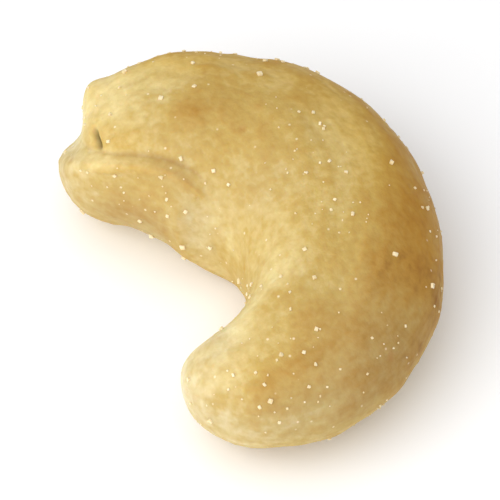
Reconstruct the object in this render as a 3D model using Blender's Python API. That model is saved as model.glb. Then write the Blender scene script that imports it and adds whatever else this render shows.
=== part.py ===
"""Cashew kernel, roasted and lightly salted, lying on its side.

Metres, +Z up. The origin is on the ground, under the middle of the kernel's box. The kernel's blunt germ
end is at -X, its narrow tip at +X, and the hollow of its crescent opens towards -Y.
"""
import math
import random

import bmesh
import bpy
import numpy as np
from mathutils import Matrix, Vector

MM = 0.001

# Centre line and section, in mm, from the germ end to the tip. A cubic B-spline runs through the rows.
# x, y: place in the plan; z: height of the section's centre over the ground
# outer, inner: half widths to the back and to the hollow; up, down: half heights
# roll: degrees that the section leans, its hollow side up; seam: degrees of the seam above the hollow side
STATIONS = (
    (-11.2, -6.9, 5.0, 2.8, 4.7, 2.7, 4.7, 20, 21),
    (-10.5, -5.2, 5.1, 3.1, 5.4, 3.1, 5.0, 20, 22),
    (-9.3, -3.0, 5.2, 4.1, 6.3, 3.9, 5.2, 20, 25),
    (-7.5, -0.4, 5.2, 5.8, 6.9, 4.6, 5.2, 16, 27),
    (-4.5, 1.8, 5.1, 7.2, 6.5, 5.0, 5.2, 10, 29),
    (0.0, 2.7, 5.0, 6.6, 5.6, 5.0, 5.1, 4, 24),
    (4.3, 0.9, 4.8, 7.1, 4.3, 4.7, 4.9, 0, 14),
    (7.3, -2.1, 4.6, 6.7, 2.9, 4.2, 4.5, -4, 8),
    (8.1, -5.5, 4.3, 5.1, 2.1, 3.6, 4.0, -6, 4),
    (6.5, -8.6, 3.9, 3.3, 2.0, 3.0, 3.6, -6, 4),
)

# Ends, in mm: how far from each end the section starts to round off, and how squarely
GERM_CAP, GERM_BLUNTNESS = 3.3, 2.9
TIP_CAP, TIP_BLUNTNESS = 4.2, 2.1

# Relief of the seam between the two halves, in mm
SEAM_DEPTH, SEAM_HALF_WIDTH = 0.22, 0.55
LIP_HEIGHT, LIP_DROP, LIP_HALF_WIDTH = 0.18, 1.2, 0.65
HOLLOW_DEPTH, HOLLOW_DROP, HOLLOW_HALF_WIDTH = 0.3, 2.6, 1.2
SEAM_REACH, SEAM_FADE, SEAM_FAINT = 9.5, 2.5, 0.15
HOLLOW_MIDDLE, HOLLOW_REACH = 5.5, 3.5

# The lower half stands out further at the germ end, as a nose, in mm
NOSE_LENGTH, NOSE_REACH, NOSE_DROP, NOSE_EDGE = 1.4, 2.4, 1.05, 0.6
NOSE_SLOPE = 40.0

# Bulges of the skin, and hollows where the height is below 0: the low side of the germ arm, the back of the
# germ end, the back of the tip, the underside before the tip and the tip's upper edge
# run and reach along it in mm, degrees round the section and spread in degrees, height in mm
BULGES = (
    (12.0, 7.5, 225, 34, 0.95),
    (4.4, 2.0, 58, 26, 0.45),
    (25.2, 1.8, 335, 30, 0.22),
    (27.8, 1.7, 300, 28, -0.28),
    (29.0, 2.0, 110, 35, -0.18),
)

# The slit where the germ sits between the halves: share of the skin, section angle, turn from the way
# round the section, and half sizes in mm
SLIT_SHARE, SLIT_ANGLE, SLIT_TURN = 0.098, 146.0, 45.0
SLIT_HALF = (0.8, 0.22, 0.5)
SLIT_SEGMENTS, SLIT_RINGS = 14, 8

# Salt grains on the roasted surface, in mm: their edges, the least gap and the least height over the ground
GRAINS = 44
GRAIN_EDGE = (0.3, 0.46)
GRAIN_STRETCH = (0.8, 1.2)
GRAIN_SUNK = 0.22
GRAIN_GAP, GRAIN_FLOOR = 1.6, 1.2
GRAIN_REACH = (0.03, 0.97)
GRAIN_SEED = 7
SLIVER = 0.01

# Mesh: rings from end to end, segments round, and how far they crowd towards the germ end and the seam
RINGS, SEGMENTS = 46, 60
RING_CROWDING, SEGMENT_CROWDING = 1.15, 0.35
CENTRE_STEPS = 1200
GROUND_BLOCK = 40.0
NUDGE = 0.002

# Finish: a toasted cream, softly shining
KERNEL_COLOUR = (0.66, 0.47, 0.18)
KERNEL_ROUGHNESS = 0.48
SHARP_ANGLE = 40.0


def bell(x):
    """Smooth bump: 1 at x = 0, falling to about a third at 1 and to nothing at 2."""
    return np.exp(-x * x)


def ramp(x):
    """Smooth step from 0 to 1 as x goes from below -1 to above 1."""
    return 0.5 + 0.5 * np.tanh(x)


def spline(rows, count):
    """Points of the uniform cubic B-spline over the rows, with each end row on the curve."""
    rows = np.array(rows, float)
    rows = np.vstack([2 * rows[0] - rows[1], rows, 2 * rows[-1] - rows[-2]])
    place = np.linspace(0, len(rows) - 3, count)
    first = np.minimum(place.astype(int), len(rows) - 4)
    part = (place - first)[:, None]
    weights = (
        (1 - part) ** 3 / 6,
        (3 * part ** 3 - 6 * part ** 2 + 4) / 6,
        (-3 * part ** 3 + 3 * part ** 2 + 3 * part + 1) / 6,
        part ** 3 / 6,
    )
    return sum(weight * rows[first + step] for step, weight in enumerate(weights))


CENTRE = spline(STATIONS, CENTRE_STEPS)
STEPS = np.hypot(*np.diff(CENTRE[:, :2], axis=0).T)
RUN = np.concatenate([[0], np.cumsum(STEPS)])
LENGTH = RUN[-1]
SLOPE = np.gradient(CENTRE[:, :2], axis=0)
HEADING = np.unwrap(np.arctan2(SLOPE[:, 1], SLOPE[:, 0]))


def end_taper(run):
    """Share of the full section that is left at a distance along the centre line: 0 at both ends."""
    germ = np.clip(1 - run / GERM_CAP, 0, 1)
    tip = np.clip(1 - (LENGTH - run) / TIP_CAP, 0, 1)
    germ_side = (1 - germ ** GERM_BLUNTNESS) ** (1 / GERM_BLUNTNESS)
    tip_side = (1 - tip ** TIP_BLUNTNESS) ** (1 / TIP_BLUNTNESS)
    return germ_side * tip_side


RADIUS = CENTRE[:, 3:7].mean(axis=1) * end_taper(RUN)
SKIN = np.concatenate([[0], np.cumsum(np.hypot(np.diff(RUN), np.diff(RADIUS)))])


def seam_relief(run, above, taper):
    """Height over the smooth skin, in mm: the seam's groove, the lip under it and the hollow under that.

    above is the distance up from the seam over the skin.
    """
    strong = ramp((SEAM_REACH - run) / SEAM_FADE)
    groove = -SEAM_DEPTH * bell(above / SEAM_HALF_WIDTH) * (SEAM_FAINT + (1 - SEAM_FAINT) * strong)
    lip = LIP_HEIGHT * bell((above + LIP_DROP) / LIP_HALF_WIDTH) * strong
    along = bell((run - HOLLOW_MIDDLE) / HOLLOW_REACH)
    hollow = -HOLLOW_DEPTH * bell((above + HOLLOW_DROP) / HOLLOW_HALF_WIDTH) * along
    return (groove + lip + hollow) * taper


def bulge_relief(run, angle, taper):
    """Height over the smooth skin, in mm: each bulge is a bell of the run times a bell of the angle."""
    total = 0
    for middle, reach, degrees, spread, height in BULGES:
        off = np.mod(np.degrees(angle) - degrees + 180, 360) - 180
        total = total + height * bell(off / spread) * bell((run - middle) / reach)
    return total * taper


def skin_points(share, angle):
    """Points of the kernel's skin, in mm.

    share runs from 0 at the germ end to 1 at the tip, evenly over the skin. angle is the place round the
    section in radians: 0 at the back, a quarter turn on top, a half turn on the side of the hollow.
    """
    run = np.interp(share * SKIN[-1], SKIN, RUN)
    x, y, z, outer, inner, up, down, roll, seam = (np.interp(run, RUN, column) for column in CENTRE.T)
    heading = np.interp(run, RUN, HEADING)
    roll, seam = np.radians(roll), np.radians(seam)
    taper = end_taper(run)

    wide = np.where(np.cos(angle) > 0, outer, inner)
    high = np.where(np.sin(angle) > 0, up, down)
    across = wide * np.cos(angle) * taper
    rise = high * np.sin(angle) * taper
    turn = np.mod(angle - (math.pi - seam) + math.pi, 2 * math.pi) - math.pi
    above = -turn * np.hypot(across, rise)
    height = seam_relief(run, above, taper) + bulge_relief(run, angle, taper)
    outward = np.stack([np.cos(angle) / wide, np.sin(angle) / high])
    outward = outward / np.hypot(*outward)
    across = across + outward[0] * height
    rise = rise + outward[1] * height

    back = across * np.cos(roll) + rise * np.sin(roll)
    lift = rise * np.cos(roll) - across * np.sin(roll)
    lean = math.radians(NOSE_SLOPE)
    below = -(lift * math.cos(lean) + back * math.sin(lean) + NOSE_DROP)
    along = -NOSE_LENGTH * bell(run / NOSE_REACH) * ramp(below / NOSE_EDGE)
    return np.stack([
        x - np.sin(heading) * back + np.cos(heading) * along,
        y + np.cos(heading) * back + np.sin(heading) * along,
        z + lift,
    ], axis=-1)


def skin_frame(share, angle):
    """One point of the skin and two directions there: along the kernel and outwards."""
    here, further, round_on = skin_points(
        np.array([share, share + NUDGE, share]), np.array([angle, angle, angle + NUDGE]))
    along = Vector(further - here).normalized()
    outward = Vector(round_on - here).cross(along).normalized()
    return Vector(here), along, outward


def finish_material(name, colour, roughness):
    """A plain Principled material."""
    material = bpy.data.materials.new(name)
    material.use_nodes = True
    shader = material.node_tree.nodes["Principled BSDF"]
    shader.inputs["Base Color"].default_value = (*colour, 1)
    shader.inputs["Roughness"].default_value = roughness
    shader.inputs["Metallic"].default_value = 0.0
    return material


def new_object(name, collection, sculpt):
    """An object whose mesh is filled by the function sculpt, in its collection."""
    mesh = bpy.data.meshes.new(name)
    shape = bmesh.new()
    sculpt(shape)
    shape.to_mesh(mesh)
    shape.free()
    made = bpy.data.objects.new(name, mesh)
    collection.objects.link(made)
    return made


def sculpt_kernel(shape):
    """A UV sphere whose rings and segments are moved onto the kernel's skin."""
    bmesh.ops.create_uvsphere(shape, u_segments=SEGMENTS, v_segments=RINGS, radius=1)
    places = np.array([vertex.co for vertex in shape.verts])
    share = np.arccos(np.clip(places[:, 2], -1, 1)) / math.pi
    turn = -np.arctan2(places[:, 1], places[:, 0])
    angle = math.pi + turn - SEGMENT_CROWDING * np.sin(turn)
    for vertex, point in zip(shape.verts, skin_points(share ** RING_CROWDING, angle) * MM):
        vertex.co = point


def sculpt_grain(edge, draw):
    """A salt crystal: a cube with slightly unlike sides."""
    def sculpt(shape):
        bmesh.ops.create_cube(shape, size=edge * MM)
        bmesh.ops.scale(shape, vec=[draw.uniform(*GRAIN_STRETCH) for _ in range(3)], verts=shape.verts)
    return sculpt


def scatter_grains(collection):
    """Salt grains sunk into the skin, none nearer to another than GRAIN_GAP, none near the ground."""
    draw = random.Random(GRAIN_SEED)
    placed = []
    while len(placed) < GRAINS:
        place, _, outward = skin_frame(draw.uniform(*GRAIN_REACH), draw.uniform(0, 2 * math.pi))
        edge = draw.uniform(*GRAIN_EDGE)
        turn = draw.uniform(0, math.pi)
        too_near = any((place - other).length < GRAIN_GAP for other in placed)
        if too_near or place.z < GRAIN_FLOOR:
            continue
        placed.append(place)
        grain = new_object(f"grain_{len(placed):02d}", collection, sculpt_grain(edge, draw))
        centre = place - outward * edge * GRAIN_SUNK
        facing = outward.to_track_quat("Z", "Y").to_matrix().to_4x4()
        grain.matrix_world = Matrix.Translation(centre * MM) @ facing @ Matrix.Rotation(turn, 4, "Z")


def weld_slivers(mesh):
    """Merge the points that a union leaves closer together than SLIVER."""
    shape = bmesh.new()
    shape.from_mesh(mesh)
    bmesh.ops.triangulate(shape, faces=shape.faces)
    bmesh.ops.remove_doubles(shape, verts=shape.verts, dist=SLIVER * MM)
    bmesh.ops.dissolve_degenerate(shape, edges=shape.edges, dist=SLIVER * MM)
    shape.to_mesh(mesh)
    shape.free()


def join_grains(kernel, collection):
    """Fuse the grains into the kernel with one union, and remove the loose grains."""
    union = kernel.modifiers.new("salt grains", "BOOLEAN")
    union.operation = "UNION"
    union.operand_type = "COLLECTION"
    union.collection = collection
    union.solver = "EXACT"
    bpy.context.view_layer.update()
    evaluated = kernel.evaluated_get(bpy.context.evaluated_depsgraph_get())
    joined = bpy.data.meshes.new_from_object(evaluated)
    weld_slivers(joined)
    kernel.modifiers.clear()
    kernel.data = joined
    for grain in list(collection.objects):
        bpy.data.objects.remove(grain)
    bpy.data.collections.remove(collection)


def cut_away(kernel, cutter, name):
    """Hide the cutter and cut its shape out of the kernel."""
    cutter.hide_render = True
    cutter.display_type = "WIRE"
    cut = kernel.modifiers.new(name, "BOOLEAN")
    cut.operation = "DIFFERENCE"
    cut.object = cutter
    cut.solver = "EXACT"


def sculpt_ground(shape):
    """A block that fills everything under the ground."""
    bmesh.ops.create_cube(shape, size=GROUND_BLOCK * MM)
    bmesh.ops.translate(shape, vec=(0, 0, -GROUND_BLOCK * MM / 2), verts=shape.verts)


def sculpt_slit(shape):
    """A thin lens, longer than wide."""
    bmesh.ops.create_uvsphere(shape, u_segments=SLIT_SEGMENTS, v_segments=SLIT_RINGS, radius=MM)
    bmesh.ops.scale(shape, vec=SLIT_HALF, verts=shape.verts)


def place_slit(cutter):
    """Set the lens on edge in the skin, slanting down to the seam at the germ end."""
    place, along, outward = skin_frame(SLIT_SHARE, math.radians(SLIT_ANGLE))
    turn = math.radians(SLIT_TURN)
    length = along.cross(outward) * math.cos(turn) + along * math.sin(turn)
    axes = Matrix((length, outward.cross(length), outward)).transposed().to_4x4()
    cutter.matrix_world = Matrix.Translation(place * MM) @ axes


def build():
    for left_over in list(bpy.data.objects):
        bpy.data.objects.remove(left_over)
    kernel_parts = bpy.data.collections.new("cashew_kernel")
    cutters = bpy.data.collections.new("cutters")
    grains = bpy.data.collections.new("salt_grains")
    for collection in (kernel_parts, cutters, grains):
        bpy.context.scene.collection.children.link(collection)

    kernel = new_object("kernel", kernel_parts, sculpt_kernel)
    scatter_grains(grains)
    join_grains(kernel, grains)
    cut_away(kernel, new_object("ground_cutter", cutters, sculpt_ground), "flat it rests on")
    slit = new_object("slit_cutter", cutters, sculpt_slit)
    place_slit(slit)
    cut_away(kernel, slit, "germ slit")

    kernel.data.shade_smooth()
    kernel.data.set_sharp_from_angle(angle=math.radians(SHARP_ANGLE))
    kernel.data.materials.append(finish_material("roasted_kernel", KERNEL_COLOUR, KERNEL_ROUGHNESS))


build()
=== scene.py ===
# %% [markdown]
# # A roasted and salted cashew kernel
#
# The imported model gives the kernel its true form, size and place. This lesson gives it its looks: a fine
# skin with the small relief that growing and roasting leave, crystals of salt, colours, a floor, light and
# a camera. The shape is thought out in millimetres, with the same centre line and the same formula as the
# solid, and is turned into metres only when it goes into a mesh.

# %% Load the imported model
import math
import random

import bpy
import numpy as np
from mathutils import Matrix, Vector


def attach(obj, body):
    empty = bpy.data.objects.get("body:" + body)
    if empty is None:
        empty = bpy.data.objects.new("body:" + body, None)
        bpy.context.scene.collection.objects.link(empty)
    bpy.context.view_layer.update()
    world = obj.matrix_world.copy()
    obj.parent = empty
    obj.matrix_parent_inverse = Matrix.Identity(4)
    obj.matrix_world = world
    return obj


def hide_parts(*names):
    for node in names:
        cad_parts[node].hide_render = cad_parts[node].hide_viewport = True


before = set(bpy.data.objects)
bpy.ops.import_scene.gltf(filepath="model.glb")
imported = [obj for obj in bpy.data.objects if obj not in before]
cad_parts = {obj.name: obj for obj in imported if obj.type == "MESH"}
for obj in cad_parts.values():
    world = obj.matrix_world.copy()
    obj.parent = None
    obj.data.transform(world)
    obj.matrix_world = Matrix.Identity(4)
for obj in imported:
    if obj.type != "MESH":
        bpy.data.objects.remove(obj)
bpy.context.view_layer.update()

MM = 0.001

# %% [markdown]
# ## The centre line
#
# A cashew kernel is a seed with two thick halves, bent into a crescent. A shape like that could be sculpted
# by hand, or blown up from a few metaballs. Here it is lofted: a curved centre line carries a section that
# swells at the bend and narrows to the tip. A loft keeps every size a number that can be read and changed.
#
# Each row below is a control point of a B-spline, a curve that is drawn towards its points without having
# to touch them, and so never kinks.

# %% Rows along the kernel
# x, y: place in the plan; z: height of the section's centre over the floor
# outer, inner: half widths to the back and to the hollow; up, down: half heights
# roll: degrees that the section leans, its hollow side up; seam: degrees of the seam above the hollow side
STATIONS = (
    (-11.2, -6.9, 5.0, 2.8, 4.7, 2.7, 4.7, 20, 21),
    (-10.5, -5.2, 5.1, 3.1, 5.4, 3.1, 5.0, 20, 22),
    (-9.3, -3.0, 5.2, 4.1, 6.3, 3.9, 5.2, 20, 25),
    (-7.5, -0.4, 5.2, 5.8, 6.9, 4.6, 5.2, 16, 27),
    (-4.5, 1.8, 5.1, 7.2, 6.5, 5.0, 5.2, 10, 29),
    (0.0, 2.7, 5.0, 6.6, 5.6, 5.0, 5.1, 4, 24),
    (4.3, 0.9, 4.8, 7.1, 4.3, 4.7, 4.9, 0, 14),
    (7.3, -2.1, 4.6, 6.7, 2.9, 4.2, 4.5, -4, 8),
    (8.1, -5.5, 4.3, 5.1, 2.1, 3.6, 4.0, -6, 4),
    (6.5, -8.6, 3.9, 3.3, 2.0, 3.0, 3.6, -6, 4),
)
CENTRE_STEPS = 1200


def spline(rows, count):
    """Points of the uniform cubic B-spline over the rows.

    Each point is a blend of four neighbouring rows, with the cubic weights (1-t)^3, 3t^3-6t^2+4,
    -3t^3+3t^2+3t+1 and t^3, each over 6. A mirrored row past each end puts the end rows on the curve.
    """
    rows = np.array(rows, float)
    rows = np.vstack([2 * rows[0] - rows[1], rows, 2 * rows[-1] - rows[-2]])
    place = np.linspace(0, len(rows) - 3, count)
    first = np.minimum(place.astype(int), len(rows) - 4)
    part = (place - first)[:, None]
    weights = (
        (1 - part) ** 3 / 6,
        (3 * part ** 3 - 6 * part ** 2 + 4) / 6,
        (-3 * part ** 3 + 3 * part ** 2 + 3 * part + 1) / 6,
        part ** 3 / 6,
    )
    return sum(weight * rows[first + step] for step, weight in enumerate(weights))


CENTRE = spline(STATIONS, CENTRE_STEPS)
RUN = np.concatenate([[0], np.cumsum(np.hypot(*np.diff(CENTRE[:, :2], axis=0).T))])
LENGTH = RUN[-1]
SLOPE = np.gradient(CENTRE[:, :2], axis=0)
HEADING = np.unwrap(np.arctan2(SLOPE[:, 1], SLOPE[:, 0]))
print("centre line, in mm:", round(float(LENGTH), 2))

# %% [markdown]
# ## Rounded ends
#
# The section has to shrink to nothing at both ends. A circle's quarter gives a round end, and a higher
# power a blunter one: the germ end, where the seed once joined its stalk, is blunter than the tip.

# %% Ends
GERM_CAP, GERM_BLUNTNESS = 3.3, 2.9
TIP_CAP, TIP_BLUNTNESS = 4.2, 2.1


def bell(x):
    """Smooth bump: 1 at x = 0, falling to about a third at 1 and to nothing at 2."""
    return np.exp(-x * x)


def ramp(x):
    """Smooth step from 0 to 1 as x goes from below -1 to above 1."""
    return 0.5 + 0.5 * np.tanh(x)


def end_taper(run):
    """Share of the full section left at a distance along the centre line: (1 - g^n)^(1/n), where g grows
    from 0 to 1 over the last stretch to each end and n is the end's bluntness."""
    germ = np.clip(1 - run / GERM_CAP, 0, 1)
    tip = np.clip(1 - (LENGTH - run) / TIP_CAP, 0, 1)
    germ_side = (1 - germ ** GERM_BLUNTNESS) ** (1 / GERM_BLUNTNESS)
    return germ_side * (1 - tip ** TIP_BLUNTNESS) ** (1 / TIP_BLUNTNESS)


RADIUS = CENTRE[:, 3:7].mean(axis=1) * end_taper(RUN)
SKIN = np.concatenate([[0], np.cumsum(np.hypot(np.diff(RUN), np.diff(RADIUS)))])
print("over the skin from end to end, in mm:", round(float(SKIN[-1]), 2))

# %% [markdown]
# ## The seam, and the skin as a formula
#
# The two halves meet in a shallow groove on the hollow side. Under it the lower half curls up into a lip,
# and under the lip the skin is drawn in. At the germ end the lower half stands out further, as a nose.
# The low side of that arm bulges on its way to the bend, and a few smaller bulges and hollows keep the
# outline from being too even.
#
# Grooves like these could be painted as a bump in the material, but they show in the outline, so they
# are part of the shape: each is a bell or a ramp that raises or lowers the skin.

# %% The skin
SEAM_DEPTH, SEAM_HALF_WIDTH = 0.22, 0.55
LIP_HEIGHT, LIP_DROP, LIP_HALF_WIDTH = 0.18, 1.2, 0.65
HOLLOW_DEPTH, HOLLOW_DROP, HOLLOW_HALF_WIDTH = 0.3, 2.6, 1.2
SEAM_REACH, SEAM_FADE, SEAM_FAINT = 9.5, 2.5, 0.15
HOLLOW_MIDDLE, HOLLOW_REACH = 5.5, 3.5
NOSE_LENGTH, NOSE_REACH, NOSE_DROP, NOSE_EDGE = 1.4, 2.4, 1.05, 0.6
NOSE_SLOPE = 40.0
# Bulges, and hollows where the height is below 0: the low side of the germ arm, the back of the germ end,
# the back of the tip, the underside before the tip and the tip's upper edge
# run and reach along it in mm, degrees round the section and spread in degrees, height in mm
BULGES = (
    (12.0, 7.5, 225, 34, 0.95),
    (4.4, 2.0, 58, 26, 0.45),
    (25.2, 1.8, 335, 30, 0.22),
    (27.8, 1.7, 300, 28, -0.28),
    (29.0, 2.0, 110, 35, -0.18),
)


def seam_relief(run, above, taper):
    """Height over the smooth skin: the groove, the lip under it and the hollow under that, each a bell of
    the distance up from the seam, strong at the germ end and faint beyond the bend."""
    strong = ramp((SEAM_REACH - run) / SEAM_FADE)
    groove = -SEAM_DEPTH * bell(above / SEAM_HALF_WIDTH) * (SEAM_FAINT + (1 - SEAM_FAINT) * strong)
    lip = LIP_HEIGHT * bell((above + LIP_DROP) / LIP_HALF_WIDTH) * strong
    along = bell((run - HOLLOW_MIDDLE) / HOLLOW_REACH)
    hollow = -HOLLOW_DEPTH * bell((above + HOLLOW_DROP) / HOLLOW_HALF_WIDTH) * along
    return (groove + lip + hollow) * taper


def bulge_relief(run, angle, taper):
    """Height over the smooth skin: each bulge is a bell of the run times a bell of the angle."""
    total = 0
    for middle, reach, degrees, spread, height in BULGES:
        off = np.mod(np.degrees(angle) - degrees + 180, 360) - 180
        total = total + height * bell(off / spread) * bell((run - middle) / reach)
    return total * taper


def skin(share, angle):
    """Points of the skin, in mm, and where they are on it: the run along the centre line, the distance
    above the seam, the section's radius there and the taper.

    share runs from 0 at the germ end to 1 at the tip, evenly over the skin. angle goes round the section:
    0 at the back, a quarter turn on top, a half turn on the side of the hollow. The section is four
    quarter ellipses, leaned by the roll, stood across the centre line.
    """
    run = np.interp(share * SKIN[-1], SKIN, RUN)
    x, y, z, outer, inner, up, down, roll, seam = (np.interp(run, RUN, column) for column in CENTRE.T)
    heading = np.interp(run, RUN, HEADING)
    roll, seam = np.radians(roll), np.radians(seam)
    taper = end_taper(run)

    wide = np.where(np.cos(angle) > 0, outer, inner)
    high = np.where(np.sin(angle) > 0, up, down)
    across = wide * np.cos(angle) * taper
    rise = high * np.sin(angle) * taper
    radius = np.hypot(across, rise)
    turn = np.mod(angle - (math.pi - seam) + math.pi, 2 * math.pi) - math.pi
    above = -turn * radius
    outward = np.stack([np.cos(angle) / wide, np.sin(angle) / high])
    outward = outward / np.hypot(*outward)
    height = seam_relief(run, above, taper) + bulge_relief(run, angle, taper)
    across, rise = np.stack([across, rise]) + outward * height

    back = across * np.cos(roll) + rise * np.sin(roll)
    lift = rise * np.cos(roll) - across * np.sin(roll)
    lean = math.radians(NOSE_SLOPE)
    below = -(lift * math.cos(lean) + back * math.sin(lean) + NOSE_DROP)
    along = -NOSE_LENGTH * bell(run / NOSE_REACH) * ramp(below / NOSE_EDGE)
    points = np.stack([
        x - np.sin(heading) * back + np.cos(heading) * along,
        y + np.cos(heading) * back + np.sin(heading) * along,
        z + lift,
    ], axis=-1)
    return points, run, above, radius, taper


NUDGE = 0.002


def outward_from(share, angle):
    """Unit directions out of the skin: the cross product of a small step round it and one along it."""
    ahead, behind = np.clip(share + NUDGE, 0, 1), np.clip(share - NUDGE, 0, 1)
    along = skin(ahead, angle)[0] - skin(behind, angle)[0]
    round_on = skin(share, angle + NUDGE)[0] - skin(share, angle - NUDGE)[0]
    out = np.cross(round_on, along)
    return out / np.maximum(np.linalg.norm(out, axis=-1, keepdims=True), 1e-12)


middle = np.array([0.5])
print("on top at mid-run, in mm:", skin(middle, np.radians([90.0]))[0].round(2))

# %% [markdown]
# ## Fine relief
#
# A roasted kernel isn't smooth. Its flesh shrank as it dried, so it has slow dents and swells, fine
# wrinkles that follow its length, and small blisters and pits. Blender's own noise could displace the mesh
# by a modifier. A sum of plane waves does it here, because it is a formula on whole arrays, and the same
# waves can be stretched along the crescent by feeding them places on a kernel pulled straight.

# %% Waves and dents
SWELLS = ((5.0, 0.045, 11), (2.2, 0.018, 12))
WRINKLE_SIZE, WRINKLE_STRETCH, WRINKLE_HEIGHT = 0.7, 9.0, 0.012
PIT_SIZE, PIT_DEPTH, PIT_ONSET = 0.55, 0.026, 1.2
BLISTER_SIZE, BLISTER_HEIGHT, BLISTER_ONSET = 0.7, 0.022, 1.35
CROOK, CROOK_REACH = np.array([1.0, -3.0, 5.0]), np.array([5.0, 5.0, 7.0])
# Each dent, or swell where the depth is below 0: run in mm, degrees round the section, half length, half
# width, depth in mm, slant in degrees
DENTS = (
    (0.75, 58, 0.55, 1.2, -0.3, 0),
    (27.2, 60, 2.6, 0.9, 0.2, -35),
    (25.0, 45, 2.0, 0.7, 0.07, 69),
    (1.6, 105, 0.9, 1.8, 0.12, 0),
    (8.5, 205, 2.2, 0.6, 0.1, 12),
    (17.0, 12, 3.6, 1.5, 0.06, -10),
    (23.0, 330, 3.0, 1.2, 0.04, 15),
)
# The notch between the germ end and the nose: its middle in mm, its reach to each side and its depth
NOTCH, NOTCH_REACH, NOTCH_DEPTH = np.array([-11.4, -6.85, 5.1]), 1.0, 0.3
# The path of the fine line: run in mm, and degrees round the section
LINE_PATH = ((11.0, 158), (14.0, 158), (18.3, 146), (24.2, 138))
LINE_HALF_WIDTH, LINE_DEPTH, LINE_FADE = 0.16, 0.05, 1.2
FOLD_DROP, FOLD_HALF_WIDTH, FOLD_HEIGHT, FOLD_MIDDLE, FOLD_REACH = 1.0, 0.22, 0.09, 10.8, 2.4
JOIN_HALF_WIDTH, JOIN_DEPTH, JOIN_START, JOIN_RISE = 0.13, 0.07, 1.6, 2.4


def waves(places, size, seed, count=26):
    """Smooth noise with a spread of 1: cosines of plane waves in random directions, each about size mm
    from crest to crest, added up and divided by the square root of half their number."""
    draw = np.random.default_rng(seed)
    aim = draw.normal(size=(count, 3))
    aim = aim / np.linalg.norm(aim, axis=1, keepdims=True)
    length = size * draw.uniform(0.75, 1.35, count)
    phase = draw.uniform(0, 2 * math.pi, count)
    total = sum(np.cos(places @ (way * 2 * math.pi / step) + start)
                for way, step, start in zip(aim, length, phase))
    return total / math.sqrt(count / 2)


def pulled_straight(run, angle, radius):
    """Places on a kernel whose crescent is pulled straight, and shortened so that waves become wrinkles."""
    return np.stack([np.cos(angle) * radius, np.sin(angle) * radius, run / WRINKLE_STRETCH], axis=-1)


def oval(run, angle, radius, middle, degrees, long, wide, amount, slant):
    """An oval that fades out: a bell of the distance from its middle, which counts less along its length."""
    turn = np.mod(angle - math.radians(degrees) + math.pi, 2 * math.pi) - math.pi
    along, side = run - middle, turn * radius
    lean = math.radians(slant)
    length = along * math.cos(lean) + side * math.sin(lean)
    width = side * math.cos(lean) - along * math.sin(lean)
    return amount * bell(np.hypot(length / long, width / wide))


def inner_line(run, angle, radius):
    """The fine line down the hollow side: a narrow bell of the distance from a path over the skin."""
    path = np.interp(run, *np.array(LINE_PATH, float).T)
    aside = (angle - np.radians(path)) * radius
    start, end = LINE_PATH[0][0], LINE_PATH[-1][0]
    return bell(aside / LINE_HALF_WIDTH) * ramp((run - start) / LINE_FADE) * ramp((end - run) / LINE_FADE)


def joined(run):
    """0 by the slit, where the halves part and leave no line between them, rising to 1 further on."""
    return ramp((run - JOIN_START) / JOIN_RISE)


def open_skin(points):
    """1 where the skin is stretched, falling to 0 in the crook, where wrinkles would crowd together."""
    return 1 - bell(np.linalg.norm((points - CROOK) / CROOK_REACH, axis=-1) ** 2)


def fine_relief(points, run, above, radius, taper, angle):
    """Height over the smooth skin, in mm: swells, wrinkles, pits, blisters, dents, the notch, the small
    second fold under the lip and the sharp line where the halves join. What follows the section fades out
    at the ends, where the section closes."""
    straight = pulled_straight(run, angle, radius)
    whole = np.clip(taper * 1.6 - 0.2, 0, 1)
    swell = sum(height * waves(points, size, seed) for size, height, seed in SWELLS)
    wrinkled = (0.6 + 0.4 * waves(points, 6.0, 15)) * open_skin(points)
    wrinkle = WRINKLE_HEIGHT * waves(straight, WRINKLE_SIZE, 13) * wrinkled * whole
    pit = -PIT_DEPTH * np.maximum(waves(points, PIT_SIZE, 14) - PIT_ONSET, 0)
    blister = BLISTER_HEIGHT * np.maximum(waves(points, BLISTER_SIZE, 16) - BLISTER_ONSET, 0)
    dents = -sum(oval(run, angle, radius, *one) for one in DENTS)
    notch = -NOTCH_DEPTH * bell(np.linalg.norm(points - NOTCH, axis=-1) / NOTCH_REACH)
    reach = bell((run - FOLD_MIDDLE) / FOLD_REACH)
    fold = FOLD_HEIGHT * bell((above + FOLD_DROP) / FOLD_HALF_WIDTH) * reach
    line = -LINE_DEPTH * inner_line(run, angle, radius)
    join = -JOIN_DEPTH * bell(above / JOIN_HALF_WIDTH) * ramp((SEAM_REACH - run) / SEAM_FADE) * joined(run)
    return swell + wrinkle + pit + blister + notch + (dents + fold + line + join) * whole


# %% [markdown]
# ## The slit at the germ end
#
# Where the two halves part a little over the germ, there is a short dark slit. In the solid it is cut out.
# In this skin it is pressed in: points near its middle go straight in, the nearer the deeper.

# %% Slit
SLIT_SHARE, SLIT_ANGLE, SLIT_TURN = 0.098, math.radians(146.0), math.radians(45.0)
SLIT_HALF_LENGTH, SLIT_HALF_WIDTH, SLIT_DEPTH = 0.68, 0.17, 0.6


def slit_axes():
    """The slit's middle, and the directions of its length, its width and its depth."""
    here, ahead = skin(np.array([SLIT_SHARE, SLIT_SHARE + NUDGE]), np.array([SLIT_ANGLE] * 2))[0]
    out = outward_from(np.array([SLIT_SHARE]), np.array([SLIT_ANGLE]))[0]
    along = (ahead - here) / np.linalg.norm(ahead - here)
    length = np.cross(along, out) * math.cos(SLIT_TURN) + along * math.sin(SLIT_TURN)
    return here, length, np.cross(out, length), out


SLIT_MIDDLE, SLIT_LONG, SLIT_WIDE, SLIT_OUT = slit_axes()


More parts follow.
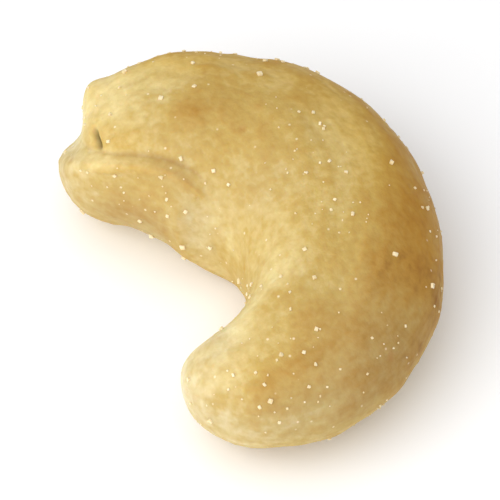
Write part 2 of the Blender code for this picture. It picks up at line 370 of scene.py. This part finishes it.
def slit_share(points):
    """How much of the slit's depth a point gets: a bell of its distance from the slit's middle line."""
    off = points - SLIT_MIDDLE
    length, width, height = off @ SLIT_LONG, off @ SLIT_WIDE, off @ SLIT_OUT
    near = bell(height / 1.0)
    return near * np.exp(-(width / SLIT_HALF_WIDTH) ** 2 - (length / SLIT_HALF_LENGTH) ** 4)


print("slit at, in mm:", SLIT_MIDDLE.round(2))

# %% [markdown]
# ## The skin as a mesh
#
# The two parameters of the formula become a grid: rings from end to end, and points round each ring. They
# crowd towards the germ end and the seam, where the detail is. One point closes each end, and the last
# column of faces joins the first, so the skin is one closed surface with nothing to weld.
#
# The mesh also carries facts for its material: how deep in a crease or in the slit a point lies, how brown
# the roast and the painted shade make it there, how far the skin stands out, and the point's place on the
# kernel pulled straight, so that a streak in the colour can follow the crescent.
#
# The roast is given by a few broad patches, and with it some painted shade and painted light. What stood
# proud is browner. The back of the bend and its low side are browner still, partly roast and partly painted
# shade, and the top of the germ arm is paler with painted light. The nose, the tip and the inner side are pale.

# %% Build the skin
RINGS, AROUND = 292, 330
RING_CROWDING, AROUND_CROWDING = 1.15, 0.35
CREASE_HALF_WIDTH, CREASE_FAINT, CREASE_STRONG = 0.2, 0.06, 0.4
# Roast, painted shade and painted light. Each patch: run in mm, degrees round the section, half length, half
# width in mm, browner by, slant
ROAST_AND_SHADE_PATCHES = (
    (0.75, 58, 0.9, 1.6, -0.24, 0),
    (0.8, 185, 2.5, 3.0, -0.18, 0),
    (1.5, 100, 2.2, 3.0, -0.15, 0),
    (4.2, 200, 2.8, 1.8, 0.2, 0),
    (1.5, 180, 1.0, 0.8, 0.03, 0),
    (2.2, 164, 1.3, 0.6, -0.08, 0),
    (4.2, 168, 1.6, 1.0, 0.09, 0),
    (5.8, 155, 2.6, 1.5, 0.09, 0),
    (5.2, 112, 2.6, 1.5, -0.1, 0),
    (5.0, 86, 3.0, 1.2, -0.16, 0),
    (9.0, 206, 2.5, 1.5, 0.08, 0),
    (9.5, 128, 3.4, 2.0, 0.03, 0),
    (10.2, 96, 2.0, 1.8, 0.07, 0),
    (8.0, 122, 2.4, 1.4, 0.06, 0),
    (12.0, 62, 2.5, 1.4, -0.08, 0),
    (12.0, 180, 4.0, 2.5, -0.06, 0),
    (14.8, 76, 2.8, 2.2, -0.12, 0),
    (16.0, 18, 10.0, 4.2, 0.22, 0),
    (21.5, 30, 3.0, 3.2, 0.19, 0),
    (22.5, 0, 2.0, 1.5, 0.2, 0),
    (24.0, 108, 3.5, 2.0, -0.24, 0),
    (26.4, 56, 2.0, 1.7, 0.11, 0),
    (30.0, 100, 3.0, 3.5, -0.2, 0),
    (29.5, 340, 3.5, 3.0, -0.22, 0),
)
# The same facts for patches of warmer colour, partly roast and partly a painted warm reflection, and below 0
# for greyer patches, a painted cool light
WARMTH_AND_LIGHT_PATCHES = (
    (1.2, 140, 2.0, 2.5, 0.3, 0),
    (5.5, 74, 4.0, 1.8, 1.1, 0),
    (13.5, 55, 4.5, 2.2, 1.3, 0),
    (18.5, 30, 3.5, 2.0, 1.2, 0),
    (4.2, 212, 4.5, 2.6, -1.1, 0),
    (7.0, 158, 3.0, 2.4, -0.5, 0),
    (11.5, 180, 4.5, 3.0, -0.7, 0),
    (16.0, 130, 3.0, 2.2, -0.5, 0),
    (23.5, 30, 3.5, 2.8, -0.9, 0),
    (26.0, 5, 3.5, 2.5, -0.7, 0),
    (29.0, 88, 1.2, 2.0, -0.5, 0),
    (27.3, 50, 1.8, 1.6, 0.25, 0),
    (30.0, 0, 2.5, 2.0, -0.5, 0),
)


def finished(share, angle):
    """Points on the finished skin, and the facts the material reads. Each point of the smooth skin moves
    along its own outward direction by the fine relief, and the floor flattens what would sink into it."""
    points, run, above, radius, taper = skin(share, angle)
    out = outward_from(share, angle)
    slit = slit_share(points)
    relief = fine_relief(points, run, above, radius, taper, angle) - SLIT_DEPTH * slit
    moved = points + out * relief[..., None]
    moved[..., 2] = np.maximum(moved[..., 2], 0)
    strong = CREASE_FAINT + (CREASE_STRONG - CREASE_FAINT) * ramp((SEAM_REACH - run) / SEAM_FADE)
    crease = bell(above / CREASE_HALF_WIDTH) * strong * joined(run) * np.clip(taper * 2 - 0.3, 0, 1)
    crease = crease + 0.5 * inner_line(run, angle, radius)
    # The patches hold roast colour together with painted shade and painted light
    roast_and_shade = sum(oval(run, angle, radius, *one) for one in ROAST_AND_SHADE_PATCHES)
    # Warmer patches are partly a painted warm reflection, greyer ones a painted cool light
    warmth_and_light = np.clip(0.5 + 0.5 * sum(oval(run, angle, radius, *one) for one in WARMTH_AND_LIGHT_PATCHES), 0, 1)
    return moved, crease, slit, roast_and_shade, warmth_and_light, relief, open_skin(points), pulled_straight(run, angle, radius)


def skin_grid():
    """The finished skin on the grid of rings, and at its two end points."""
    share = (np.arange(1, RINGS + 1) / (RINGS + 1)) ** RING_CROWDING
    turn = 2 * math.pi * np.arange(AROUND) / AROUND
    angle = math.pi + turn - AROUND_CROWDING * np.sin(turn)
    rings = finished(*np.meshgrid(share, angle, indexing="ij"))
    ends = finished(np.array([1e-6, 1 - 1e-6]), np.array([math.pi, math.pi]))
    return [np.concatenate([ring.reshape(RINGS * AROUND, -1), end.reshape(2, -1)])
            for ring, end in zip(rings, ends)]


def ring_faces():
    """Quads between neighbouring rings, and a fan of triangles round each end point. Each face goes round
    the section first and then along, so that it points outwards."""
    here = np.arange(RINGS * AROUND).reshape(RINGS, AROUND)
    side = np.roll(here, -1, axis=1)
    quads = np.stack([here[:-1], side[:-1], side[1:], here[1:]], axis=-1).reshape(-1, 4)
    germ, tip = np.full(AROUND, here.size), np.full(AROUND, here.size + 1)
    fans = np.concatenate([np.stack([germ, side[0], here[0]], -1), np.stack([tip, here[-1], side[-1]], -1)])
    return quads.tolist() + fans.tolist()


def new_piece(name, places, faces):
    """An object at the origin whose mesh holds these places, given in mm, with smooth faces."""
    mesh = bpy.data.meshes.new(name)
    mesh.from_pydata((places * MM).tolist(), [], faces)
    mesh.shade_smooth()
    mesh.validate()
    piece = bpy.data.objects.new(name, mesh)
    bpy.context.scene.collection.objects.link(piece)
    return piece


def carry(piece, name, kind, values):
    """Stores one value, or one vector, for each point of a piece, for its material to read."""
    attribute = piece.data.attributes.new(name, kind, "POINT")
    field = "vector" if kind == "FLOAT_VECTOR" else "value"
    attribute.data.foreach_set(field, np.ascontiguousarray(values, np.float32).ravel())


places, *facts, straight = skin_grid()
kernel = new_piece("kernel_skin", places, ring_faces())
for name, values in zip(("crease", "slit", "roast_and_shade", "warmth_and_light", "relief", "open"), facts):
    carry(kernel, name, "FLOAT", values)
carry(kernel, "straight", "FLOAT_VECTOR", straight * MM)
print("skin:", len(kernel.data.vertices), "points, size in mm", np.ptp(places, axis=0).round(2))

# %% [markdown]
# ## Colours and nodes
#
# Colours are written as people pick them, as sRGB hex, and one function turns them into the linear light
# that a shader works with. One more function adds a node with its settings and links, so that a material
# reads like a list of steps.

# %% Helpers for materials
def light(hex_colour):
    """sRGB hex to linear red, green and blue: below a small value divided by 12.92, and above it the
    power 2.4 of (value + 0.055) / 1.055."""
    value = np.array([int(hex_colour[start:start + 2], 16) for start in (1, 3, 5)]) / 255
    linear = np.where(value <= 0.04045, value / 12.92, ((value + 0.055) / 1.055) ** 2.4)
    return (*linear.tolist(), 1.0)


def per(size):
    """The scale that makes a pattern's cells this many mm across."""
    return 1 / (size * MM)


def add(tree, kind, inputs=None, stops=None, **settings):
    """Adds one node of a kind. settings are its own choices, inputs maps its sockets to numbers or to the
    outputs that feed them, and stops are the places and colours of a colour ramp."""
    node = tree.nodes.new("ShaderNode" + kind)
    for name, value in settings.items():
        setattr(node, name, value)
    for name, value in (inputs or {}).items():
        if isinstance(value, bpy.types.NodeSocket):
            tree.links.new(value, node.inputs[name])
        else:
            node.inputs[name].default_value = value
    for count, (place, colour) in enumerate(stops or ()):
        ramp_stops = node.color_ramp.elements
        stop = ramp_stops[count] if count < 2 else ramp_stops.new(place)
        stop.position, stop.color = place, colour
    return node


def new_material(name):
    """A material with an empty Principled shader: its tree and the shader."""
    material = bpy.data.materials.new(name)
    material.use_nodes = True
    return material, material.node_tree, material.node_tree.nodes["Principled BSDF"]


# %% [markdown]
# ## Roasted cashew flesh
#
# Cashew flesh is cream coloured, dense and oily. Light goes a millimetre or so into it and comes out
# again warmer, which is why thin edges glow. Roasting turns it golden, and browner where it stands proud.
# Skin that was rubbed off leaves brown traces in the seam and a few rusty flecks. Broad patches also add
# painted shade and painted light to the colour.
#
# One picture of a nut wrapped round it would be quick, but would stretch and show a join. Layers of noise,
# each at the size of one real thing, have neither.

# %% Material: roasted cashew flesh
FLESH = {"pale": "#ecddc1", "cream": "#dac59f", "gold": "#c4a66f", "roast_and_shade": "#b3894d", "brown": "#87552e"}


def roasted_flesh():
    """Colour from slow and fine noise together, browner in the seam; satin gloss; a grain of fine bumps."""
    material, tree, shader = new_material("roasted_cashew_flesh")
    place = add(tree, "TexCoord").outputs["Object"]
    straight = add(tree, "Attribute", attribute_name="straight").outputs["Vector"]
    crease, slit, patched_roast_and_shade, warmth_and_light, relief, stretched = (
        add(tree, "Attribute", attribute_name=name).outputs["Fac"]
        for name in ("crease", "slit", "roast_and_shade", "warmth_and_light", "relief", "open"))

    patch = add(tree, "TexNoise", {"Vector": place, "Scale": per(8.0), "Detail": 2.0}).outputs["Fac"]
    blotch = add(tree, "TexNoise", {"Vector": place, "Scale": per(2.2), "Detail": 3.0}).outputs["Fac"]
    grain = add(tree, "TexNoise", {"Vector": place, "Scale": per(0.5), "Detail": 3.0}).outputs["Fac"]
    streak = add(tree, "TexNoise", {"Vector": straight, "Scale": per(0.9), "Detail": 2.0}).outputs["Fac"]
    streak = add(tree, "MapRange", {0: stretched, 3: 0.5, 4: streak}).outputs[0]
    roast_and_shade = add(tree, "Math", {0: patch, 1: 0.25, 2: -0.05}, operation="MULTIPLY_ADD").outputs[0]
    # The patches add painted shade and painted light to the roast colour
    for layer, share in ((blotch, 0.26), (grain, 0.34), (streak, 0.25), (relief, 0.6), (patched_roast_and_shade, 1.0)):
        roast_and_shade = add(tree, "Math", {0: layer, 1: share, 2: roast_and_shade}, operation="MULTIPLY_ADD").outputs[0]
    colour = add(tree, "ValToRGB", {"Fac": roast_and_shade}, stops=(
        (0.1, light(FLESH["pale"])),
        (1.0, light(FLESH["brown"])),
        (0.3, light(FLESH["cream"])),
        (0.5, light(FLESH["gold"])),
        (0.75, light(FLESH["roast_and_shade"])),
    )).outputs["Color"]
    # A tint of warmth and painted light: a painted warm reflection, and a painted cool light where greyer
    warmth_and_light_tint = add(tree, "ValToRGB", {"Fac": warmth_and_light}, stops=(
        (0.0, light("#f6ffff")), (1.0, light("#fff2b0")), (0.5, light("#ffffdc")))).outputs["Color"]
    colour = add(tree, "Mix", {0: 1.0, 6: colour, 7: warmth_and_light_tint}, data_type="RGBA", blend_type="MULTIPLY").outputs[2]

    stain = add(tree, "Math", {0: crease, 1: blotch}, operation="MULTIPLY").outputs[0]
    stain = add(tree, "Math", {0: stain, 1: 1.5}, operation="MULTIPLY", use_clamp=True).outputs[0]
    colour = add(tree, "Mix", {0: stain, 6: colour, 7: light("#9a6430")}, data_type="RGBA").outputs[2]
    dark = add(tree, "Math", {0: slit, 1: 1.2}, operation="MULTIPLY", use_clamp=True).outputs[0]
    colour = add(tree, "Mix", {0: dark, 6: colour, 7: light("#7c6226")}, data_type="RGBA").outputs[2]

    bent = add(tree, "TexNoise", {"Vector": place, "Scale": per(0.7), "Detail": 2.0}).outputs["Color"]
    bent = add(tree, "VectorMath", {0: bent, "Scale": 0.7 * MM}, operation="SCALE").outputs[0]
    bent = add(tree, "VectorMath", {0: place, 1: bent}, operation="ADD").outputs[0]
    fleck = add(tree, "TexVoronoi", {"Vector": bent, "Scale": per(2.0)})
    chosen = add(tree, "Math", {0: fleck.outputs["Color"], 1: 0.72}, operation="GREATER_THAN").outputs[0]
    spot = add(tree, "MapRange", {0: fleck.outputs["Distance"], 1: 0.06, 2: 0.2, 3: 0.3, 4: 0.0}).outputs[0]
    spot = add(tree, "Math", {0: spot, 1: chosen}, operation="MULTIPLY").outputs[0]
    colour = add(tree, "Mix", {0: spot, 6: colour, 7: light("#a8642c")}, data_type="RGBA").outputs[2]

    dust = add(tree, "TexVoronoi", {"Vector": place, "Scale": per(0.75)})
    dusty = add(tree, "Math", {0: dust.outputs["Color"], 1: 0.6}, operation="GREATER_THAN").outputs[0]
    speck = add(tree, "MapRange", {0: dust.outputs["Distance"], 1: 0.05, 2: 0.13, 3: 0.5, 4: 0.0}).outputs[0]
    speck = add(tree, "Math", {0: speck, 1: dusty}, operation="MULTIPLY").outputs[0]
    colour = add(tree, "Mix", {0: speck, 6: colour, 7: light("#fdf3da")}, data_type="RGBA").outputs[2]
    tree.links.new(colour, shader.inputs["Base Color"])

    rough = add(tree, "MapRange", {0: blotch, 1: 0.3, 2: 0.7, 3: 0.48, 4: 0.64}).outputs[0]
    tree.links.new(rough, shader.inputs["Roughness"])
    skin_grain = add(tree, "TexNoise", {"Vector": place, "Scale": per(0.18), "Detail": 3.0}).outputs["Fac"]
    bump = add(tree, "Bump", {"Height": skin_grain, "Distance": 0.012 * MM, "Strength": 1.0})
    bump = add(tree, "Bump", {"Height": grain, "Distance": 0.05 * MM, "Normal": bump.outputs[0]})
    bump = add(tree, "Bump", {"Height": streak, "Distance": 0.05 * MM, "Normal": bump.outputs[0]})
    tree.links.new(bump.outputs[0], shader.inputs["Normal"])
    shader.inputs["IOR"].default_value = 1.47
    shader.inputs["Specular IOR Level"].default_value = 0.1
    shader.inputs["Subsurface Weight"].default_value = 0.45
    shader.inputs["Subsurface Radius"].default_value = (1.0, 0.55, 0.2)
    shader.inputs["Subsurface Scale"].default_value = 1.3 * MM
    return material


kernel.data.materials.append(roasted_flesh())
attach(kernel, "root")
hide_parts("kernel")
print("kernel material:", len(kernel.data.materials[0].node_tree.nodes), "nodes")

# %% [markdown]
# ## Salt
#
# Table salt is halite: clear little cubes with worn corners, most of them a few tenths of a millimetre
# across, stuck to the oily skin. Particles or instances would scatter them, but an export drops those.
# So one worn cube of 26 faces is copied by array arithmetic into one mesh: first at the places of the
# solid's grains, by the same seeded rule, then many finer ones.

# %% Where the salt sits
GRAINS, GRAIN_SEED = 44, 7
GRAIN_EDGE, GRAIN_STRETCH = (0.3, 0.46), (0.8, 1.2)
GRAIN_GAP, GRAIN_FLOOR, GRAIN_REACH = 1.6, 1.2, (0.03, 0.97)
TRUE_SIZE = 0.6
FINE_TRIES, FINE_SEED, FINE_EDGE = 2600, 21, (0.06, 0.2)
DRIFT_SIZE, DRIFT_SEED = 6.0, 185


def solid_grains():
    """Share, angle, edge and turn of the grains that the solid has: drawn one by one, and kept only if
    they are far enough from the others and from the floor."""
    draw = random.Random(GRAIN_SEED)
    kept, spots = [], []
    while len(kept) < GRAINS:
        share, angle = draw.uniform(*GRAIN_REACH), draw.uniform(0, 2 * math.pi)
        spot = skin(np.array([share]), np.array([angle]))[0][0]
        edge, turn = draw.uniform(*GRAIN_EDGE), draw.uniform(0, math.pi)
        if any(np.linalg.norm(spot - other) < GRAIN_GAP for other in spots) or spot[2] < GRAIN_FLOOR:
            continue
        stretch = [draw.uniform(*GRAIN_STRETCH) for _ in range(3)]
        spots.append(spot)
        kept.append((share, angle, edge, turn, *stretch))
    return np.array(kept)


def skin_area(share, angle):
    """How much skin a small step of both parameters covers: the length of the steps' cross product."""
    along = skin(share + NUDGE, angle)[0] - skin(share, angle)[0]
    round_on = skin(share, angle + NUDGE)[0] - skin(share, angle)[0]
    return np.linalg.norm(np.cross(along, round_on), axis=-1)


def fine_grains():
    """The same facts for the finer salt, most of it near the smallest size. Where a step of the parameters
    covers less skin, fewer of the places drawn are kept, and slow waves thin the salt out between drifts."""
    draw = np.random.default_rng(FINE_SEED)
    share, angle = draw.uniform(0.01, 0.98, FINE_TRIES), draw.uniform(0, 2 * math.pi, FINE_TRIES)
    edge = FINE_EDGE[0] + (FINE_EDGE[1] - FINE_EDGE[0]) * draw.uniform(0, 1, FINE_TRIES) ** 2.5
    turn = draw.uniform(0, math.pi, FINE_TRIES)
    stretch = draw.uniform(0.7, 1.25, (FINE_TRIES, 3))
    spots = skin(share, angle)[0]
    likely = skin_area(share, angle) * ramp(1.5 * waves(spots, DRIFT_SIZE, DRIFT_SEED) - 0.6)
    kept = (draw.uniform(0, likely.max(), FINE_TRIES) < likely) & (spots[:, 2] > 0.5)
    return np.column_stack([share, angle, edge, turn, stretch])[kept]


large = solid_grains()
large[:, 2] *= TRUE_SIZE
grains = np.vstack([large, fine_grains()])
print("salt grains:", len(grains))

# %% Salt mesh
WORN = 0.78
RISE = 0.02


def worn_cube():
    """A cube with its edges and corners cut: each face's square is drawn in, so that a strip is left along
    every edge and a triangle at every corner. 24 points, 26 faces."""
    signs = np.array([(x, y, z) for x in (-1, 1) for y in (-1, 1) for z in (-1, 1)], float)
    points, index = [], {}
    for number, sign in enumerate(signs):
        for axis in range(3):
            point = sign * WORN
            point[axis] = sign[axis]
            index[number, axis] = len(points)
            points.append(point / 2)
    faces = [[index[number, axis] for axis in range(3)] for number in range(8)]
    for axis in range(3):
        first, second = [other for other in range(3) if other != axis]
        for way in (0, 1):
            corners = [number for number in range(8) if (signs[number][axis] > 0) == bool(way)]
            corners = [corners[0], corners[1], corners[3], corners[2]]
            faces.append([index[number, axis] for number in corners])
        for number in range(8):
            if signs[number][axis] < 0:
                across = number + (4, 2, 1)[axis]
                faces.append([index[number, first], index[number, second],
                              index[across, second], index[across, first]])
    points = np.array(points)
    outward = []
    for face in faces:
        normal = np.cross(points[face[1]] - points[face[0]], points[face[2]] - points[face[0]])
        outward.append(face if normal @ points[face].mean(axis=0) > 0 else face[::-1])
    return points, outward


def salt_mesh(facts):
    """Every grain at once: the worn cube stretched and turned, stood on the finished skin, and sunk in."""
    cube, faces = worn_cube()
    share, angle, edge, turn = facts[:, :4].T
    spots = finished(share, angle)[0]
    out = outward_from(share, angle)
    draw = np.random.default_rng(31)
    out = out + draw.normal(scale=0.22, size=out.shape)
    out = out / np.linalg.norm(out, axis=1, keepdims=True)
    side = np.cross(out, np.array([0.31, 0.17, 0.94]))
    side = side / np.linalg.norm(side, axis=1, keepdims=True)
    third = np.cross(out, side)
    first = np.cos(turn)[:, None] * side + np.sin(turn)[:, None] * third
    second = np.cross(out, first)
    shape = cube[None] * (facts[:, 4:7] * edge[:, None])[:, None] * draw.uniform(0.8, 1.15, (len(facts), 24, 3))
    turned = shape[..., :1] * first[:, None] + shape[..., 1:2] * second[:, None] + shape[..., 2:] * out[:, None]
    points = turned + (spots + out * (edge * RISE)[:, None])[:, None]
    shift = 24 * np.arange(len(facts))
    all_faces = [[corner + start for corner in face] for start in shift.tolist() for face in faces]
    return points.reshape(-1, 3), all_faces


salt = new_piece("salt_crystals", *salt_mesh(grains))
salt.data.set_sharp_from_angle(angle=math.radians(25))
print("salt:", len(salt.data.polygons), "faces")

# %% [markdown]
# ## Halite
#
# Salt has no colour of its own. What the eye sees is the skin through it, milky where the crystal is
# cracked or worn, and a glint off its faces. So it is a warm white that light soaks a little way into.

# %% Material: halite
def halite():
    """A milky warm white that light soaks into, glossy on its faces, frosted in patches."""
    material, tree, shader = new_material("halite_table_salt")
    place = add(tree, "TexCoord").outputs["Object"]
    cloud = add(tree, "TexNoise", {"Vector": place, "Scale": per(0.3), "Detail": 2.0}).outputs["Fac"]
    colour = add(tree, "ValToRGB", {"Fac": cloud}, stops=(
        (0.3, light("#e6cf9c")), (0.7, light("#f3e4c0")))).outputs["Color"]
    tree.links.new(colour, shader.inputs["Base Color"])
    rough = add(tree, "MapRange", {0: cloud, 1: 0.3, 2: 0.7, 3: 0.2, 4: 0.45}).outputs[0]
    tree.links.new(rough, shader.inputs["Roughness"])
    bump = add(tree, "Bump", {"Height": cloud, "Distance": 0.02 * MM})
    tree.links.new(bump.outputs[0], shader.inputs["Normal"])
    shader.inputs["IOR"].default_value = 1.544
    shader.inputs["Subsurface Weight"].default_value = 0.7
    shader.inputs["Subsurface Radius"].default_value = (1.0, 1.0, 1.0)
    shader.inputs["Subsurface Scale"].default_value = 0.1 * MM
    return material


salt.data.materials.append(halite())
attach(salt, "root")
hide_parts("kernel")
print("salt material:", salt.data.materials[0].name)

# %% [markdown]
# ## Floor, light and camera
#
# The kernel lies on a plain white light table, lit as in a light tent: soft light from all round, a little
# more from the left and front, so that it has one soft side and hardly a shadow.

# %% Floor
FLOOR_RADIUS = 2.0


def opal_acrylic():
    """Opal acrylic with a faint, slow unevenness, lit a little from below, so that shadows stay pale."""
    material, tree, shader = new_material("opal_acrylic_sheet")
    place = add(tree, "TexCoord").outputs["Object"]
    cloud = add(tree, "TexNoise", {"Vector": place, "Scale": per(60.0), "Detail": 2.0}).outputs["Fac"]
    colour = add(tree, "ValToRGB", {"Fac": cloud}, stops=(
        (0.3, light("#fafafa")), (0.7, light("#fdfdfd")))).outputs["Color"]
    tree.links.new(colour, shader.inputs["Base Color"])
    shader.inputs["Roughness"].default_value = 0.9
    shader.inputs["Emission Strength"].default_value = 0.04
    return material


turn = np.linspace(0, 2 * math.pi, 64, endpoint=False)
rim = np.stack([np.cos(turn), np.sin(turn), np.zeros(64)], axis=-1) * FLOOR_RADIUS / MM
floor = new_piece("floor", rim, [list(range(64))])
floor.data.materials.append(opal_acrylic())
print("floor:", FLOOR_RADIUS * 2, "m across")

# %% Light
VIEW_AZIMUTH, VIEW_ELEVATION = 66.0, 50.0
RIGHT = Vector((math.cos(math.radians(VIEW_AZIMUTH)), math.sin(math.radians(VIEW_AZIMUTH)), 0))
FRONT = Vector((math.sin(math.radians(VIEW_AZIMUTH)), -math.cos(math.radians(VIEW_AZIMUTH)), 0))
UP = Vector((0, 0, 1))
LIGHT_DISTANCE = 0.4


def soft_light(name, aim, size, power):
    """A square area light at a fixed distance from the kernel, facing it."""
    lamp = bpy.data.lights.new(name, "AREA")
    lamp.size, lamp.energy = size, power
    holder = bpy.data.objects.new(name, lamp)
    holder.location = aim.normalized() * LIGHT_DISTANCE
    holder.rotation_euler = aim.to_track_quat("Z", "Y").to_euler()
    bpy.context.scene.collection.objects.link(holder)
    return holder


soft_light("key_light", -0.7 * RIGHT + 0.85 * FRONT + 0.8 * UP, 0.45, 1.27)
soft_light("top_light", -0.2 * RIGHT + 0.2 * FRONT + 1.0 * UP, 0.5, 0.7)
world = bpy.data.worlds.new("light_tent")
world.use_nodes = True
world.node_tree.nodes["Background"].inputs["Color"].default_value = light("#fbfbfd")
world.node_tree.nodes["Background"].inputs["Strength"].default_value = 0.52
bpy.context.scene.world = world
bpy.context.scene.view_settings.view_transform = "Standard"
print("lights:", [item.name for item in bpy.data.lights])

# %% Camera
# The photograph is 500 px across. Its kernel fills 77 of them, so the camera takes in a window of 100.
MM_PER_PX, WINDOW_PX = 0.276, 100
LENS, SENSOR = 500.0, 36.0
AIM = Vector((0.68, -1.85, 5.0)) * MM
view_width = MM_PER_PX * WINDOW_PX * MM
elevation = math.radians(VIEW_ELEVATION)
towards_camera = FRONT * math.cos(elevation) + UP * math.sin(elevation)
camera = bpy.data.objects.new("camera", bpy.data.cameras.new("camera"))
camera.data.lens, camera.data.sensor_width = LENS, SENSOR
camera.location = AIM + towards_camera * (view_width * LENS / SENSOR)
camera.rotation_euler = towards_camera.to_track_quat("Z", "Y").to_euler()
camera.data.clip_start, camera.data.clip_end = 0.01, 10.0
bpy.context.scene.collection.objects.link(camera)
bpy.context.scene.camera = camera
print("camera distance, in mm:", round((camera.location - AIM).length / MM, 1))
